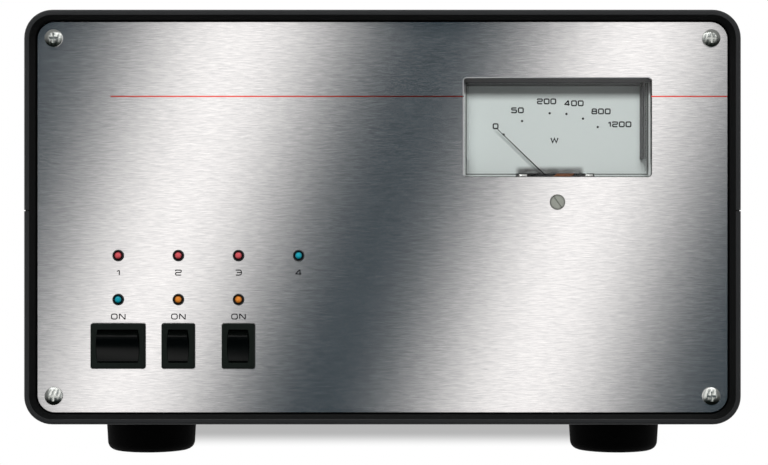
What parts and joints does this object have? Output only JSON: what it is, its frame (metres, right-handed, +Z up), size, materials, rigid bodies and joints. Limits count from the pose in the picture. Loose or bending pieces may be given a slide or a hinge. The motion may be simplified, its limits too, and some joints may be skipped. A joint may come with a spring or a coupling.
{
  "type": "uhf linear amplifier",
  "caption": "Desktop radio power amplifier: moulded case on rubber feet, brushed front panel with pointer meter, lamps and rocker switches, fan-cooled rear panel with aerial and mains sockets.",
  "frame": {"origin": "centre of the box that holds the part, on the surface that its feet stand on", "axes": "+X to the right of someone who faces the front panel, +Y from the front panel to the rear, +Z up"},
  "size_m": [0.33, 0.3682, 0.207],
  "materials": {
    "case_plastic": "fine moulded texture, satin",
    "foot_rubber": "moulded rubber",
    "brushed_panel": "brushed along its width",
    "rear_sheet": "fine satin",
    "screw_steel": "bright zinc plate",
    "switch_black": "fine satin",
    "rocker_black": "satin gloss",
    "terminal_brass": "plain",
    "lamp_bezel": "satin",
    "lamp_red": "tinted diffused lens",
    "lamp_blue": "tinted diffused lens",
    "lamp_amber": "tinted diffused lens",
    "circuit_board": "solder resist",
    "clear_acrylic": "polished",
    "meter_black": "moulded",
    "dial_paint": "matt paint",
    "soft_iron": "machined",
    "bridge_metal": "satin",
    "copper": "plain copper",
    "pointer_black": "black paint",
    "spring_bronze": "phosphor bronze",
    "zero_screw_grey": "moulded grey",
    "fan_plastic": "moulded black",
    "guard_wire": "bright plate",
    "nickel": "nickel plate",
    "insulator_white": "waxy white",
    "contact_gold": "gold plate",
    "mains_black": "moulded",
    "mains_pin": "nickel plate",
    "sheet_aluminium": "mill finish",
    "device_ceramic": "fired white with plated tabs",
    "tin_sheet": "tinned sheet",
    "link_copper": "bare copper tube"
  },
  "bodies": {
    "case": {"case_top": "case_plastic", "case_bottom": "case_plastic", "feet": "foot_rubber", "front_panel": "brushed_panel", "rear_panel": "rear_sheet", "case_screws": "screw_steel", "foot_screws": "screw_steel", "panel_screws": "screw_steel", "fan_screws": "screw_steel", "socket_screws": "screw_steel", "chassis_screws": "screw_steel", "meter_fixings": "screw_steel", "earth_terminal": "screw_steel", "power_switch_body": "switch_black", "standby_switch_body": "switch_black", "preamp_switch_body": "switch_black", "switch_terminals": "terminal_brass", "board_pillars": "terminal_brass", "led_bezels": "lamp_bezel", "red_leds": "lamp_red", "blue_leds": "lamp_blue", "amber_leds": "lamp_amber", "led_board": "circuit_board", "control_board": "circuit_board", "rf_board": "circuit_board", "meter_cover": "clear_acrylic", "meter_base": "meter_black", "meter_dial": "dial_paint", "meter_yoke": "soft_iron", "meter_magnet": "soft_iron", "meter_bridge": "bridge_metal", "heat_spreader": "copper", "fan_left_frame": "fan_plastic", "fan_right_frame": "fan_plastic", "fan_guards": "guard_wire", "rf_input_socket": "nickel", "rf_output_socket": "nickel", "keying_socket": "nickel", "socket_insulators": "insulator_white", "socket_contacts": "contact_gold", "mains_inlet": "mains_black", "mains_pins": "mains_pin", "chassis_plate": "sheet_aluminium", "heatsink": "sheet_aluminium", "rf_transistors": "device_ceramic", "filter_box": "tin_sheet", "changeover_relays": "tin_sheet", "power_supply": "tin_sheet", "coax_links": "link_copper"},
    "power_rocker": {"power_rocker": "rocker_black"},
    "standby_rocker": {"standby_rocker": "rocker_black"},
    "preamp_rocker": {"preamp_rocker": "rocker_black"},
    "meter_movement": {"meter_pointer": "pointer_black", "meter_coil": "copper", "meter_hairspring": "spring_bronze"},
    "meter_zero_screw": {"meter_zero_screw": "zero_screw_grey"},
    "meter_zero_lever": {"meter_zero_lever": "spring_bronze"},
    "fan_left_rotor": {"fan_left_rotor": "fan_plastic"},
    "fan_right_rotor": {"fan_right_rotor": "fan_plastic"},
    "fuse_drawer": {"fuse_drawer": "mains_black"}
  },
  "joints": [
    {"name": "power_rock", "type": "hinge", "parent": "case", "child": "power_rocker", "pos_m": [-0.1226, -0.1753, 0.0518], "axis": [-1, 0, 0], "range_deg": [0, 30]},
    {"name": "standby_rock", "type": "hinge", "parent": "case", "child": "standby_rocker", "pos_m": [-0.0947, -0.1753, 0.0518], "axis": [-1, 0, 0], "range_deg": [0, 30]},
    {"name": "preamp_rock", "type": "hinge", "parent": "case", "child": "preamp_rocker", "pos_m": [-0.0668, -0.1753, 0.0518], "axis": [-1, 0, 0], "range_deg": [0, 30]},
    {"name": "pointer_swing", "type": "hinge", "parent": "case", "child": "meter_movement", "pos_m": [0.0812, -0.1655, 0.1266], "axis": [0, 1, 0], "range_deg": [0, 90], "stiffness_Nm_per_rad": 0.0005},
    {"name": "zero_screw_turn", "type": "hinge", "parent": "case", "child": "meter_zero_screw", "pos_m": [0.0812, -0.1761, 0.1185], "axis": [0, 1, 0], "range_deg": [-30, 30]},
    {"name": "zero_lever_turn", "type": "hinge", "parent": "case", "child": "meter_zero_lever", "pos_m": [0.0812, -0.1661, 0.1266], "axis": [0, 1, 0], "range_deg": [-12, 12]},
    {"name": "fan_left_spin", "type": "hinge", "parent": "case", "child": "fan_left_rotor", "pos_m": [-0.0475, 0.1534, 0.076], "axis": [0, 1, 0], "continuous": true},
    {"name": "fan_right_spin", "type": "hinge", "parent": "case", "child": "fan_right_rotor", "pos_m": [0.0475, 0.1534, 0.076], "axis": [0, 1, 0], "continuous": true},
    {"name": "fuse_drawer_slide", "type": "slide", "parent": "case", "child": "fuse_drawer", "axis": [0, 1, 0], "range_m": [0, 0.015]}
  ],
  "couplings": [
    {"joint": "zero_lever_turn", "follows": "zero_screw_turn", "ratio": -0.14084}
  ]
}
